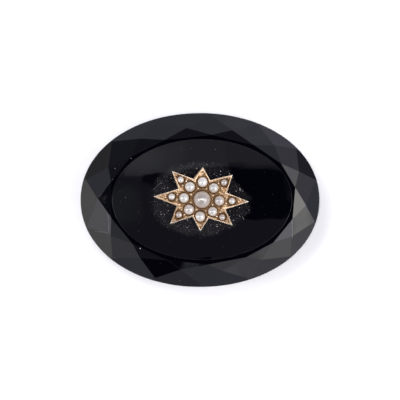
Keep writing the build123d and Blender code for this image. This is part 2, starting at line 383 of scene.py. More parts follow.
speckGroup, scratchGroup = buildSpeckGroup(), buildScratchGroup()
mottleGroup, markGroup = buildMottleGroup(), buildMarkGroup()
toolMark = 0.03                # depth of scratches, pits and waves on gold and pearl, in millimetres
# In the finishes below, clouds are given by their size, specks and pits by spacing, size and the share of
# cells that hold one, and scratches by turn, spacing and length.


# Black onyx, with dust caught round the star, a few motes and scratches, painted glints on a few facet edges,
# and a duller ground back
onyxFinish = {
    "colour": (0.0008, 0.0007, 0.0014, 1),
    # colour of the dust, and of the painted glints
    "dustAndGlints": (0.72, 0.69, 0.65, 1),
    "refraction": 1.54,
    "polish": 0.035,
    "swell": 0.12,               # height of the slow waves left by hand polishing
    "swellScale": 0.16,          # waves in each millimetre
    "clouds": 2.0,
    "dustMiddle": (0.0, 0.2),
    "dustOval": (9.7, 7.2),
    "wipedMiddle": (12.1, 6.8),
    "wipedReach": 6.6,
    "wipedSoft": 0.4,
    "haze": 0.016,
    "fineDust": (0.28, 0.07, 0.5),
    "coarseDust": (0.6, 0.085),  # its share grows with the clouds
    "rareDust": (1.9, 0.07, 0.35),
    "scratches": (0.6, 0.25, 6.0),
    "crossing": (-0.9, 0.3, 5.0),
    "groundDullness": 0.3,
}
# Motes and scratches seen on the polish, then painted glints along facet edges: start, length and width in
# millimetres, and strength
onyxMarksAndGlints = [
    ((-10.99, -8.9), (0, 0), 0.13, 0.9),
    ((7.38, 1.88), (0, 0), 0.13, 1.0),
    ((-12.64, 7.64), (0, 0), 0.11, 0.35),
    ((-15.63, 5.8), (0, 0), 0.11, 0.35),
    ((-16.11, 3.77), (0, 0), 0.10, 0.3),
    ((-13.71, 0.46), (0, 0), 0.11, 0.3),
    ((2.83, 9.3), (0, 0), 0.10, 0.25),
    ((-15.68, -10.59), (0, 0), 0.12, 0.15),
    ((-3.71, -14.83), (0, 0), 0.12, 0.15),
    ((-8.68, 1.84), (1.84, 1.57), 0.04, 0.2),
    ((7.76, -3.04), (0.31, -0.55), 0.06, 0.3),
    # painted glints: bright lines painted along facet edges on the left and right
    ((-19.27, -5.78), (2.36, -0.22), 0.05, 0.12),
    ((-17.0, -2.6), (0.25, -1.6), 0.07, 0.15),
    ((-16.75, -4.2), (0.0, -1.6), 0.07, 0.18),
    ((16.9, -3.6), (0.1, -3.3), 0.06, 0.18),
]


# Dust colour is mixed in by the greatest of three masks: specks and haze near the star, rare specks and the
# marks listed above, which include painted glints. Roughness is the polish plus shares of dust and painted
# glints, wear and the ground back.
def finishOnyx():
    material, tree, shader = newMaterial("black onyx")
    place = placeInMillimetres(tree)
    height = partsOf(tree, place)[2]
    clouds = placeGroup(tree, mottleGroup, place, onyxFinish["clouds"])
    inPlan = vectorMaths(tree, "MULTIPLY", place, (1, 1, 0))
    fromMiddle = vectorMaths(tree, "SUBTRACT", inPlan, (*onyxFinish["dustMiddle"], 0))
    inOval = vectorMaths(tree, "DIVIDE", fromMiddle, (*onyxFinish["dustOval"], 1))
    ovalReach = vectorMaths(tree, "LENGTH", inOval)
    nearStar = smoothStep(tree, plus(tree, ovalReach, times(tree, clouds, 0.07)), 1.0, 0.84)
    fromWiped = vectorMaths(tree, "DISTANCE", inPlan, (*onyxFinish["wipedMiddle"], 0))
    fromWiped = plus(tree, fromWiped, times(tree, clouds, 0.25))
    wipedReach, soft = onyxFinish["wipedReach"], onyxFinish["wipedSoft"]
    kept = smoothStep(tree, fromWiped, wipedReach - soft, wipedReach + soft)
    nearStar = times(tree, nearStar, kept)
    fineDust = placeGroup(tree, speckGroup, place, *onyxFinish["fineDust"])
    gathered = plus(tree, times(tree, clouds, 0.16), 0.25)
    coarseDust = placeGroup(tree, speckGroup, place, *onyxFinish["coarseDust"], gathered)
    rareDust = placeGroup(tree, speckGroup, place, *onyxFinish["rareDust"])
    caught = plus(tree, times(tree, fineDust, 0.14), times(tree, coarseDust, 0.9), onyxFinish["haze"])
    onTop = smoothStep(tree, height, ledgeHeight, ledgeHeight + 0.4)
    dustAndGlints = times(tree, times(tree, caught, nearStar), onTop)
    dustAndGlints = maths(tree, "MAXIMUM", dustAndGlints, times(tree, rareDust, 0.07))
    # marks are dust motes, scratches and painted glints
    for (x, y), stretch, width, strength in onyxMarksAndGlints:
        mark = placeGroup(tree, markGroup, place, (x, y, 0), (*stretch, 0), width)
        dustAndGlints = maths(tree, "MAXIMUM", dustAndGlints, times(tree, mark, strength))
    facing = smoothStep(tree, height, stone["back"] + 0.6, stone["back"] + 0.9)
    dustAndGlints = times(tree, dustAndGlints, facing)
    scratches = placeGroup(tree, scratchGroup, place, *onyxFinish["scratches"])
    crossing = placeGroup(tree, scratchGroup, place, *onyxFinish["crossing"])
    worn = maths(tree, "MAXIMUM", scratches, crossing)
    ground = smoothStep(tree, height, stone["back"] + 0.3, stone["back"] + 0.05)
    ground = times(tree, ground, onyxFinish["groundDullness"])
    roughness = plus(tree, onyxFinish["polish"], times(tree, dustAndGlints, 0.5), times(tree, worn, 0.02), ground)
    swell = noise(tree, scaled(tree, place, onyxFinish["swellScale"]), 1.0, 1.0)
    relief = bumped(tree, plus(tree, times(tree, worn, -0.003), swell), 1.0, onyxFinish["swell"] * mm)
    colour = mixColour(tree, dustAndGlints, onyxFinish["colour"], onyxFinish["dustAndGlints"])
    setShader(
        tree, shader, Base_Color=colour, IOR=onyxFinish["refraction"], Roughness=roughness, Normal=relief,
    )
    return material


# Rose gold: rims, tips and grains painted paler as a highlight, brown in the hollows from tarnish and painted
# shade, rubbed by fine scratches
goldFinish = {
    "bright": (0.98, 0.69, 0.43, 1),
    "worn": (0.80, 0.50, 0.27, 1),
    # brown of tarnish, also used for painted shade
    "hollow": (0.21, 0.115, 0.052, 1),
    # pale colour painted on rims, tips and grains as a highlight
    "rubbed": (0.88, 0.86, 0.73, 1),
    "polish": 0.26,
    "relief": 0.35,
    "clouds": 0.8,
    "fineClouds": 0.22,
    "tarnishAndShadeFrom": 0.05,
    "tarnishAndShadeTo": 0.62,
    "scratches": (0.4, 0.12, 1.6),
    "pits": (0.3, 0.05, 0.3),
}


# Worn to bright by clouds, then towards the hollow colour by tarnish with painted shade and by pits, then
# towards the pale colour of the painted highlight on rims, tips and grains. Roughness grows with tarnish and
# painted shade.
def finishGold():
    material, tree, shader = newMaterial("rose gold")
    place = placeInMillimetres(tree)
    # patina in the hollows, with painted shade beside the pearls, in the seats, under the plate and at the
    # foot of the walls
    shelter = attribute(tree, "shelter")
    clouds = placeGroup(tree, mottleGroup, place, goldFinish["clouds"])
    fineClouds = placeGroup(tree, mottleGroup, place, goldFinish["fineClouds"])
    sheltered = plus(tree, shelter, times(tree, fineClouds, 0.12))
    tarnishAndShade = smoothStep(tree, sheltered, goldFinish["tarnishAndShadeFrom"], goldFinish["tarnishAndShadeTo"])
    scratches = placeGroup(tree, scratchGroup, place, *goldFinish["scratches"])
    pits = placeGroup(tree, speckGroup, place, *goldFinish["pits"])
    tone = smoothStep(tree, clouds, -0.7, 0.8)
    colour = mixColour(tree, tone, goldFinish["worn"], goldFinish["bright"])
    colour = mixColour(tree, tarnishAndShade, colour, goldFinish["hollow"])
    colour = mixColour(tree, times(tree, pits, 0.35), colour, goldFinish["hollow"])
    # painted highlight on rims, tips and grains
    rubbed = attribute(tree, "rubbed")
    colour = mixColour(tree, rubbed, colour, goldFinish["rubbed"])
    roughness = plus(tree, goldFinish["polish"], times(tree, tarnishAndShade, 0.25), times(tree, clouds, 0.05))
    height = plus(tree, times(tree, fineClouds, 0.5), times(tree, scratches, -0.3))
    normal = bumped(tree, height, goldFinish["relief"], toolMark * mm)
    setShader(tree, shader, Base_Color=colour, Metallic=1.0, Roughness=roughness, Normal=normal)
    return material


# Half pearls: cream to mauve, clouded, browner towards the seat as a painted reflection of the gold, with a
# glossy skin. The middle one is grey, even in tone and finely ridged from top to bottom, so that its shine
# spreads to the sides.
pearlFinish = {
    "white": (0.80, 0.79, 0.75, 1),
    "cream": (0.515, 0.51, 0.47, 1),
    "mauve": (0.40, 0.33, 0.305, 1),
    "grey": (0.22, 0.195, 0.165, 1),
    # warm colour painted towards the edge, a reflection of the gold round the pearl
    "seat": (0.62, 0.475, 0.33, 1),
    "paintedReflectionShare": 0.80,
    "roughness": 0.30,
    "waves": 0.12,
    "ridges": 0.0,
    "skin": 1.0,
    "refraction": 1.9,
}
centrePearlFinish = {
    "white": (0.5, 0.47, 0.43, 1),
    "cream": (0.335, 0.305, 0.272, 1),
    "mauve": (0.255, 0.215, 0.19, 1),
    "grey": (0.14, 0.12, 0.1, 1),
    # warm colour painted towards the edge, a reflection of the gold round the pearl
    "seat": (0.45, 0.33, 0.24, 1),
    "paintedReflectionShare": 0.6,
    "roughness": 0.23,
    "waves": 0.25,
    "ridges": 0.6,
    "skin": 0.0,
    "refraction": 2.3,
}
# What all pearls share
nacre = {
    "clouds": 0.9,
    "fineClouds": 0.35,
    "pits": (0.45, 0.06, 0.25),
    "fibres": (1.45, 0.35, 2.2),
    "ridgeStretch": (8.0, 0.7, 0.7),
    "skinRoughness": 0.15,
    "skinRefraction": 2.3,
}


# Cream to mauve by the pearl's own share plus clouds, then grey by shade times 1 plus grain, or white where
# the shade is well below nothing, then the seat colour, a painted reflection of the gold, by how far each
# place leans from the top.
def finishPearl(name, look):
    material, tree, shader = newMaterial(name)
    place = placeInMillimetres(tree)
    clouds = placeGroup(tree, mottleGroup, place, nacre["clouds"])
    fineClouds = placeGroup(tree, mottleGroup, place, nacre["fineClouds"])
    pits = placeGroup(tree, speckGroup, place, *nacre["pits"])
    mauve = plus(tree, attribute(tree, "mauve"), times(tree, clouds, 0.12))
    colour = mixColour(tree, smoothStep(tree, mauve, 0.0, 1.0), look["cream"], look["mauve"])
    fibres = placeGroup(tree, scratchGroup, place, *nacre["fibres"])
    grain = plus(tree, times(tree, fineClouds, 0.25), times(tree, fibres, 0.25))
    # shade includes a painted shade that darkens each pearl's lower side
    shade = times(tree, attribute(tree, "shade"), plus(tree, 1.0, grain))
    shade = plus(tree, shade, times(tree, fineClouds, 0.12))
    colour = mixColour(tree, times(tree, shade, 0.62), colour, look["grey"])
    colour = mixColour(tree, maths(tree, "SUBTRACT", -0.15, shade), colour, look["white"])
    # painted reflection of the gold, stronger towards the pearl's edge
    paintedReflection = smoothStep(tree, attribute(tree, "edge"), 0.02, 0.8, 0.0, look["paintedReflectionShare"])
    colour = mixColour(tree, paintedReflection, colour, look["seat"])
    colour = mixColour(tree, times(tree, pits, 0.3), colour, look["seat"])
    roughness = plus(tree, look["roughness"], times(tree, fineClouds, 0.05))
    height = plus(tree, times(tree, clouds, look["waves"]), times(tree, pits, -0.15))
    ridges = noise(tree, vectorMaths(tree, "MULTIPLY", place, nacre["ridgeStretch"]), 1.0, 1.0)
    height = plus(tree, height, times(tree, ridges, look["ridges"]))
    setShader(
        tree, shader, Base_Color=colour, Roughness=roughness, IOR=look["refraction"],
        Coat_Weight=look["skin"], Coat_Roughness=nacre["skinRoughness"], Coat_IOR=nacre["skinRefraction"],
        Normal=bumped(tree, height, 1.0, toolMark * mm),
    )
    return material


# Fitting: satin gold, drawn lengthwise, rubbed bright by height where it rests
fittingFinish = {
    "gold": (0.86, 0.61, 0.36, 1),
    "darkened": (0.52, 0.33, 0.17, 1),
    "rubbed": (0.98, 0.74, 0.46, 1),
    "rubbedHeight": 0.45,
    "polish": 0.36,
    "relief": 0.3,
    "clouds": 2.5,
    "drawn": (0.05, 0.10, 5.0),
    "across": (1.2, 0.16, 3.0),
}


# Dull to gold by clouds, rubbed below a height, with two runs of fine scratches.
def finishFitting():
    material, tree, shader = newMaterial("satin gold")
    place = placeInMillimetres(tree)
    clouds = placeGroup(tree, mottleGroup, place, fittingFinish["clouds"])
    drawn = placeGroup(tree, scratchGroup, place, *fittingFinish["drawn"])
    across = placeGroup(tree, scratchGroup, place, *fittingFinish["across"])
    tone = smoothStep(tree, clouds, -0.6, 0.9)
    colour = mixColour(tree, tone, fittingFinish["darkened"], fittingFinish["gold"])
    height = plus(tree, partsOf(tree, place)[2], times(tree, clouds, 0.15))
    rubbed = smoothStep(tree, height, fittingFinish["rubbedHeight"], 0.0)
    colour = mixColour(tree, rubbed, colour, fittingFinish["rubbed"])
    worn = maths(tree, "MAXIMUM", drawn, across)
    roughness = plus(tree, fittingFinish["polish"], times(tree, clouds, 0.06), times(tree, rubbed, -0.12))
    normal = bumped(tree, times(tree, worn, -0.5), fittingFinish["relief"], toolMark * mm)
    setShader(tree, shader, Base_Color=colour, Metallic=1.0, Roughness=roughness, Normal=normal)
    return material


onyxMaterial, goldMaterial = finishOnyx(), finishGold()
pearlMaterial = finishPearl("half pearl", pearlFinish)
centrePearlMaterial = finishPearl("grey half pearl", centrePearlFinish)
fittingMaterial = finishFitting()
print("finishes made")


# The stone's surface: loops carried round the stone, from the hole over dome, ledge and facets to the back

# Closed line through even and odd corners in turn, each stretch cut into equal steps.
def cornerLoop(evenCorners, oddCorners):
    corners = np.stack([evenCorners, oddCorners], axis=1).reshape(-1, evenCorners.shape[-1])
    share = (np.arange(stone["stepsPerHalfFacet"]) / stone["stepsPerHalfFacet"])[None, :, None]
    stretch = corners[:, None] * (1 - share) + np.roll(corners, -1, axis=0)[:, None] * share
    return stretch.reshape(-1, evenCorners.shape[-1])


# Angles round the stone, clockwise and unbroken, in step with the corner loops.
def angleLoop(evenAngles):
    following = np.append(evenAngles[1:], evenAngles[0] - 2 * np.pi)
    oddAngles = evenAngles + (following - evenAngles) * 0.5
    corners = np.stack([evenAngles, oddAngles], axis=1).ravel()
    ends = np.append(corners[1:], corners[0] - 2 * np.pi)
    share = np.arange(stone["stepsPerHalfFacet"]) / stone["stepsPerHalfFacet"]
    return (corners[:, None] * (1 - share) + ends[:, None] * share).ravel()


# Oval with slightly full shoulders: cosine and sine raised to 2 over the fullness.
def outlineLoop(angles, inset=0.0):
    power = 2 / stone["fullness"]
    x = (halfLength - inset) * np.sign(np.cos(angles)) * np.abs(np.cos(angles)) ** power
    y = (halfWidth - inset) * np.sign(np.sin(angles)) * np.abs(np.sin(angles)) ** power
    return np.stack([x, y], axis=1)


# Plan points with a height as third coordinate.
def raised(plan, height):
    return np.column_stack([plan, np.broadcast_to(height, len(plan))])


# Dome loops run straight in plan from hole to oval, at the dome's own height. Facet loops run in straight
# stretches from corner to corner, and the wall drops from the lowest of the lower planes.
def buildStone():
    domeAngles = angleLoop(innerAngle)
    circle = np.stack([np.cos(domeAngles), np.sin(domeAngles)], axis=1)
    centre = np.array([middleX, middleY])
    hole = circle * stone["hole"]
    oval = circle * [halfDomeLength, halfDomeWidth]
    loops = [raised(centre + hole, stone["back"])]
    for share in np.linspace(0, 1, stone["domeRings"]):
        plan = hole * (1 - share) + oval * share
        loops.append(raised(centre + plan, domeHeight(plan[:, 0], plan[:, 1])))
    loops.append(raised(centre + oval, ledgeHeight))
    lifted = np.array([0, 0, ledgeHeight])
    chordMiddles = (inner + np.roll(inner, -1, axis=0)) / 2
    loops.append(cornerLoop(inner, chordMiddles) + lifted)
    loops.append(cornerLoop(inner, mid) + lifted)
    loops.append(cornerLoop(outer, mid) + lifted)
    outlineAngles = angleLoop(outerAngle)
    outline = outlineLoop(outlineAngles)
    wallTop = heightOn(lowers[:, None], outline[None].repeat(len(number), axis=0)).min(axis=0)
    loops.append(raised(outline, ledgeHeight + wallTop))
    loops.append(raised(outline, stone["back"] + stone["chamfer"]))
    loops.append(raised(outlineLoop(outlineAngles, stone["chamfer"]), stone["back"]))
    faces = quadsBetween(len(loops), len(domeAngles), closeRows=True)
    piece = makePiece("onyx_stone", np.concatenate(loops), faces, onyxMaterial, "black_onyx")
    softenEdges(piece, 0.05, stone["edgeRound"], 2.5)
    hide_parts("onyx_plaque")


buildStone()
print("stone made, ledge at", round(ledgeHeight, 3), "mm")

# The star. Each ray: tip angle, tip reach, valley angle, valley reach, rim before and after the tip, how far
# the rim widens at the valleys, and how much painted shade darkens its edge before and after the tip. Angles
# are in degrees, counter-clockwise from the right, reaches are shares of the star's reach.
star = {
    "reach": 9.0,
    "gap": 0.03,
    "thickness": 1.1,
    "rimHeight": 0.35,
    "rimRound": 0.045,
    "rimWander": 0.02,
    "seatDepth": 0.25,
    "seatGap": 0.04,
    "smallSeatGap": 0.12,
    "smallPearl": 0.8,           # pearls under this radius have the wider gap
    "lipHeight": 0.02,
    "lipReach": 0.07,
    "lipWidth": 0.05,
    "grainReach": 2.12,
    "grainSpread": 0.52,
    "tipGrainGap": 0.5,
    "grainRadius": 0.16,
    "grainVariety": 0.12,
    "grainSink": 0.04,
    "grainRings": 7,
    "grainColumns": 14,
    "postRadius": 0.9,
    "postEnd": 2.87,
    "dugDepth": 0.07,
    # reach of the painted shade beside each pearl
    "dugCells": (0.30, 0.16),
    "shelterReach": 0.28,
    # depth of the painted shade on the rim edges
    "edgeShadeDepth": 0.65,
    "stepsPerEdge": 40,
    "fieldRings": 88,
}
rayRows = np.array([
    (-2.6, 0.955, 15.5, 0.522, 0.17, 0.17, 0.30, 0.1, 0.0),
    (39.0, 0.805, 67.2, 0.428, 0.20, 0.26, 0.25, 0.75, 0.55),
    (88.8, 0.667, 113.5, 0.462, 0.19, 0.40, 0.45, 0.25, 0.8),
    (136.6, 0.850, 155.4, 0.531, 0.20, 0.28, 0.60, 0.35, 0.7),
    (176.4, 1.000, 193.7, 0.535, 0.26, 0.22, 0.55, 0.3, 0.7),
    (217.2, 0.820, 241.1, 0.398, 0.26, 0.20, 0.20, 1.0, 0.0),
    (266.9, 0.650, 289.5, 0.403, 0.18, 0.20, 0.20, 0.0, 0.0),
    (319.7, 0.815, 337.4, 0.517, 0.20, 0.21, 0.50, 0.0, 0.65),
])
# Loops over the rim's outer edge: inset, drop, patina and painted shade, and painted highlight. Then from
# there
# to the field: share of the way, drop and painted highlight.
outerRimRows = [(0.0, 1.0, 0.35, 0.1), (0.013, 0.5, 0.2, 0.5), (0.032, 0.2, 0.05, 0.9), (0.06, 0.0, 0.0, 0.6)]
innerRimRows = [(0.80, 0.05, 0.2), (0.94, 0.35, 0.4), (1.0, 1.0, 0.1)]
# Pearls: angle, reach, radius, share of mauve, share of shade
pearlRows = {
    "centre_pearl": (0.0, 0.0, 1.62, 0.45, 0.85),
    "ring_pearl_right": (-3.7, 3.162, 0.96, 0.65, 0.35),
    "ring_pearl_top_right": (44.5, 3.007, 0.941, 0.1, 0.5),
    "ring_pearl_top": (88.3, 3.162, 0.979, 0.0, -0.45),
    "ring_pearl_top_left": (133.6, 3.193, 0.979, 0.0, 0.1),
    "ring_pearl_left": (174.9, 3.286, 0.96, 0.0, 0.05),
    "ring_pearl_bottom_left": (217.2, 2.976, 0.979, 0.5, 0.15),
    "ring_pearl_bottom": (263.5, 3.069, 0.989, 0.3, 0.1),
    "ring_pearl_bottom_right": (311.9, 2.883, 0.922, 0.35, 0.25),
    "ray_pearl_right": (-2.7, 5.46, 0.659, 0.1, 0.15),
    "ray_pearl_top_right": (37.7, 5.096, 0.646, 0.6, 0.85),
    "ray_pearl_top_left": (137.5, 5.304, 0.659, 0.0, -0.05),
    "ray_pearl_left": (174.5, 5.564, 0.653, 0.0, -0.15),
    "ray_pearl_bottom_left": (213.0, 5.044, 0.627, 0.95, 0.85),
    "ray_pearl_bottom_right": (319.0, 4.888, 0.608, 0.9, 0.5),
}
fieldLift = star["gap"] + star["thickness"] - star["rimHeight"]
rimLift = star["gap"] + star["thickness"]


# Vectors divided by their lengths.
def unit(vectors):
    return vectors / np.linalg.norm(vectors, axis=-1, keepdims=True)


# x = reach times cosine of the angle, y = reach times its sine.
def polar(angle, reach):
    turn = np.radians(angle)
    return np.stack([reach * np.cos(turn), reach * np.sin(turn)], axis=-1)


pearlAngle, pearlReach, pearlRadius = np.array([row[:3] for row in pearlRows.values()]).T
pearlPlan = polar(pearlAngle, pearlReach)
ringAngle, ringEdge = pearlAngle[1:9], pearlReach[1:9] + pearlRadius[1:9]


# Grain places: one midway between neighbouring ring pearls, a pair on the shoulder between a ring pearl
# and its small pearl, turned by the angle whose tangent is spread over reach, and one beyond the last
# pearl of a ray.
def findGrains():
    gapTurn = (ringAngle - np.roll(ringAngle, 1)) % 360
    places = [polar(ringAngle - gapTurn / 2, star["grainReach"])]
    lastEdge = ringEdge.copy()
    smallRay = np.array([0, 1, 3, 4, 5, 7])  # the rays that hold a small pearl
    smallAngle, smallReach, smallRadius = pearlAngle[9:], pearlReach[9:], pearlRadius[9:]
    shoulder = (ringEdge[smallRay] + smallReach - smallRadius) / 2
    sideTurn = np.degrees(np.arctan(star["grainSpread"] / shoulder))
    places += [polar(smallAngle + sideTurn, shoulder), polar(smallAngle - sideTurn, shoulder)]
    lastEdge[smallRay] = smallReach + smallRadius
    places.append(polar(rayRows[:, 0], lastEdge + star["tipGrainGap"]))
    return np.concatenate(places)


grainPlan = findGrains()


# Zero up to start, one from stop, and 3 t squared less 2 t cubed between them.
def eased(value, start, stop):
    share = np.clip((value - start) / (stop - start), 0, 1)
    return share**2 * (3 - 2 * share)


# Smooth noise from -1 to 1: random values on a square lattice that repeats, eased between. The shift keeps
# the middle off the lattice's lines.
def latticeNoise(x, y, cell, seed, size=64, shift=1000.5):
    table = np.random.default_rng(seed).uniform(-1, 1, (size, size))
    column, row = x / cell + shift, y / cell + shift
    left, low = np.floor(column).astype(int), np.floor(row).astype(int)
    alongX, alongY = eased(column - left, 0, 1), eased(row - low, 0, 1)
    corner = [[table[(left + i) % size, (low + j) % size] for j in (0, 1)] for i in (0, 1)]
    lower = corner[0][0] * (1 - alongX) + corner[1][0] * alongX
    upper = corner[0][1] * (1 - alongX) + corner[1][1] * alongX
    return lower * (1 - alongY) + upper * alongY


# Outer and inner line of the rim, in plan from the star's middle. The inner corners are where the edges
# meet once each is moved in by its rim width, and the inner line is drawn in towards the middle near each
# valley.
def starOutlines():
    tips = polar(rayRows[:, 0], rayRows[:, 1] * star["reach"])
    valleys = polar(rayRows[:, 2], rayRows[:, 3] * star["reach"])
    corners = np.stack([tips, valleys], axis=1).reshape(-1, 2)
    widths = np.stack([rayRows[:, 5], np.roll(rayRows[:, 4], -1)], axis=1).ravel()
    along = unit(np.roll(corners, -1, axis=0) - corners)
    inward = np.stack([-along[:, 1], along[:, 0]], axis=1)
    before, beforeWidth = np.roll(inward, 1, axis=0), np.roll(widths, 1)
    system = np.stack([before, inward], axis=1)
    moved = np.stack([beforeWidth, widths], axis=1)[..., None]
    innerCorners = corners + np.linalg.solve(system, moved)[..., 0]
    share = (np.arange(star["stepsPerEdge"]) / star["stepsPerEdge"])[None, :]
    lines = []
    for points in (corners, innerCorners):
        following = np.roll(points, -1, axis=0)
        lines.append(points[:, None] * (1 - share[..., None]) + following[:, None] * share[..., None])
    widening = np.repeat(rayRows[:, 6], 2)
    toValley = np.where(np.arange(len(widening))[:, None] % 2 == 0, share, 1 - share)
    pull = widening[:, None] * np.clip((toValley - 0.55) / 0.45, 0, 1) ** 2
    lines[1] *= 1 - (pull / np.linalg.norm(lines[1], axis=2))[..., None]
    return lines[0].reshape(-1, 2), lines[1].reshape(-1, 2)


# Lift of the sunken field, and its patina and painted shade: dug by noise, dropped into a seat under each
# pearl and left a little proud in a lip round it. Shade is painted darker beside each pearl and in its seat.
def fieldShape(plan):
    x, y = plan[..., 0], plan[..., 1]
    coarseCell, fineCell = star["dugCells"]
    dug = 0.55 * latticeNoise(x, y, coarseCell, 3) + 0.45 * latticeNoise(x, y, fineCell, 4)
    distance = np.linalg.norm(plan[..., None, :] - pearlPlan, axis=-1)
    seatGap = np.where(pearlRadius < star["smallPearl"], star["smallSeatGap"], star["seatGap"])
    fromSeat = (distance - pearlRadius - seatGap).min(axis=-1)
    seat = 1 - eased(fromSeat, -0.05, 0.03)
    lip = np.exp(-(((fromSeat - star["lipReach"]) / star["lipWidth"]) ** 2))
    lift = fieldLift - star["dugDepth"] * (0.5 + 0.5 * dug) * (1 - seat) * (1 - lip) + star["lipHeight"] * lip
    lift = lift * (1 - seat) + (fieldLift - star["seatDepth"]) * seat
    # painted shade beside each pearl and in its seat, added to the patina
    paintedShadeBeside = 0.55 * np.exp(-((np.maximum(fromSeat, 0) / star["shelterReach"]) ** 2))
    shelter = np.clip(0.32 - 0.4 * dug + paintedShadeBeside, 0, 1) * (1 - seat) + seat
    return lift, shelter


# Loops from the post's end under the star, up over the rim and in over the field. Each rim loop is the
# outer line plus a share of the way to the inner line, at the rim's lift less its drop.
def buildStar():
    outerLine, innerLine = starOutlines()
    centre = np.array([middleX, middleY])
    inward = innerLine - outerLine
    halfway = 0.45 * np.linalg.norm(inward, axis=1)
    wander = 1 + star["rimWander"] * latticeNoise(*innerLine.T, 0.5, 7)[:, None]
    innerLine = innerLine * wander
    columns = len(outerLine)
    angles = np.arctan2(outerLine[:, 1], outerLine[:, 0])
    circle = np.stack([np.cos(angles), np.sin(angles)], axis=1)
    loops, shelters, rubbedAndSheenRows = [], [], []

    # tips get a stronger painted highlight
    fromTip = 1 - np.abs(np.arange(columns) / star["stepsPerEdge"] % 2 - 1)
    nearTip = (1 - fromTip) ** 6
    # painted shade on the rim edges, before and after each tip
    darkened = np.stack([rayRows[:, 8], np.roll(rayRows[:, 7], -1)], axis=1).repeat(star["stepsPerEdge"])

    def addLoop(plan, lift=None, height=None, shelter=0.0, rubbed=0.0):
        z = domeHeight(plan[:, 0], plan[:, 1], lift) if height is None else np.full(columns, height)
        loops.append(np.column_stack([plan + centre, z]))
        shelters.append(np.broadcast_to(shelter, (columns,)).astype(float))
        # painted highlight, stronger near the tips and weaker where the rim edge has painted shade
        rubbedAndSheenRows.append(np.minimum(rubbed * (0.75 + nearTip), 1) * (1 - 0.7 * darkened))

    post = circle * star["postRadius"]
    addLoop(circle * 0, height=star["postEnd"])
    addLoop(post * 0.95, height=star["postEnd"])               # the post's end, with its edge broken
    addLoop(post, height=star["postEnd"] + 0.05)
    addLoop(post, height=domeTop - 0.3)                        # still inside the stone's hole
    # the underside under the plate is painted with shade
    addLoop(post, star["gap"], shelter=1.0)                    # the plate's underside, on the dome
    addLoop((post + outerLine) / 2, star["gap"], shelter=1.0)
    addLoop(outerLine * 0.995, star["gap"], shelter=0.9)
    # the outer wall's foot is painted with shade
    addLoop(outerLine, star["gap"] + 0.03, shelter=0.8)        # the outer wall, dark at its foot
    addLoop(outerLine, star["gap"] + 0.3, shelter=0.4)
    rimEdge = star["rimRound"]
    scratch = 0.012 * latticeNoise(*outerLine.T, 0.35, 8)
    # rim loops take the painted shade of their edge
    for inset, drop, shelter, rubbed in outerRimRows:
        plan = outerLine + unit(inward) * np.minimum(inset, halfway)[:, None]
        lift = rimLift - drop * rimEdge * 0.9 + np.minimum(0, scratch)
        addLoop(plan, lift, shelter=np.maximum(darkened * star["edgeShadeDepth"], shelter), rubbed=rubbed)
    for share, drop, rubbed in innerRimRows:
        plan = outerLine + (innerLine - outerLine) * share
        addLoop(plan, rimLift - drop * rimEdge + np.minimum(0, scratch), shelter=darkened * 0.25, rubbed=rubbed)
    firstLift, _ = fieldShape(innerLine * 0.995)
    # the inner wall down to the field is painted with shade
    addLoop(innerLine * 0.998, firstLift + 0.06, shelter=0.7)
    for share in np.append(np.linspace(0.992, 0.17, star["fieldRings"]), 0.0):
        plan = innerLine * share
        lift, shelter = fieldShape(plan)
        addLoop(plan, lift, shelter=shelter)
    faces = quadsBetween(len(loops), columns)
    points, shelter, rubbed = np.concatenate(loops), np.concatenate(shelters), np.concatenate(rubbedAndSheenRows)
    grainPoints, grainFaces = grainShells(len(points))
    points = np.concatenate([points, grainPoints])
    shelter = np.concatenate([shelter, np.full(len(grainPoints), 0.0)])
    # grains get the painted highlight too
    rubbed = np.concatenate([rubbed, np.full(len(grainPoints), 0.7)])
    faces = np.concatenate([faces, grainFaces])
    piece = makePiece("gold_star", points, faces, goldMaterial, "rose_gold", shelter=shelter, rubbed=rubbed)
    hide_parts("star_setting")
    return piece


# Outward normals of the dome at plan points: the long arc's lean along x, then the cross arc's along y.
def domeNormals(plan):
    sineLong = plan[..., 0] / longRadius
    cosineLong = np.sqrt(1 - sineLong**2)
    arm = crossRadius - longRadius + longRadius * cosineLong
    sineCross = plan[..., 1] / arm
    cosineCross = np.sqrt(1 - sineCross**2)
    height = domeTop - crossRadius + arm * cosineCross
    foot = np.stack([plan[..., 0] + middleX, plan[..., 1] + middleY, height], axis=-1)
    return foot, np.stack([sineLong, cosineLong * sineCross, cosineLong * cosineCross], axis=-1)


# Two sides and the normal of what stands square to the dome.
def framesOn(normal):
    side = unit(np.cross(normal, [0, 1.0, 0]))
    return np.stack([side, np.cross(normal, side), normal], axis=-2)


# Unit ball from its top down to this height, and a pole to close it underneath.
def capPoints(rings, columns, lowest):
    fall = np.linspace(0, np.arccos(lowest), rings)
    turn = np.arange(columns) * 2 * np.pi / columns
    ball = np.stack([
        np.sin(fall)[:, None] * np.cos(turn),
        np.sin(fall)[:, None] * np.sin(turn),
        np.broadcast_to(np.cos(fall)[:, None], (rings, columns)),
    ], axis=-1)
    base = np.zeros((1, columns, 3))
    base[..., 2] = lowest
    return np.concatenate([ball, base])


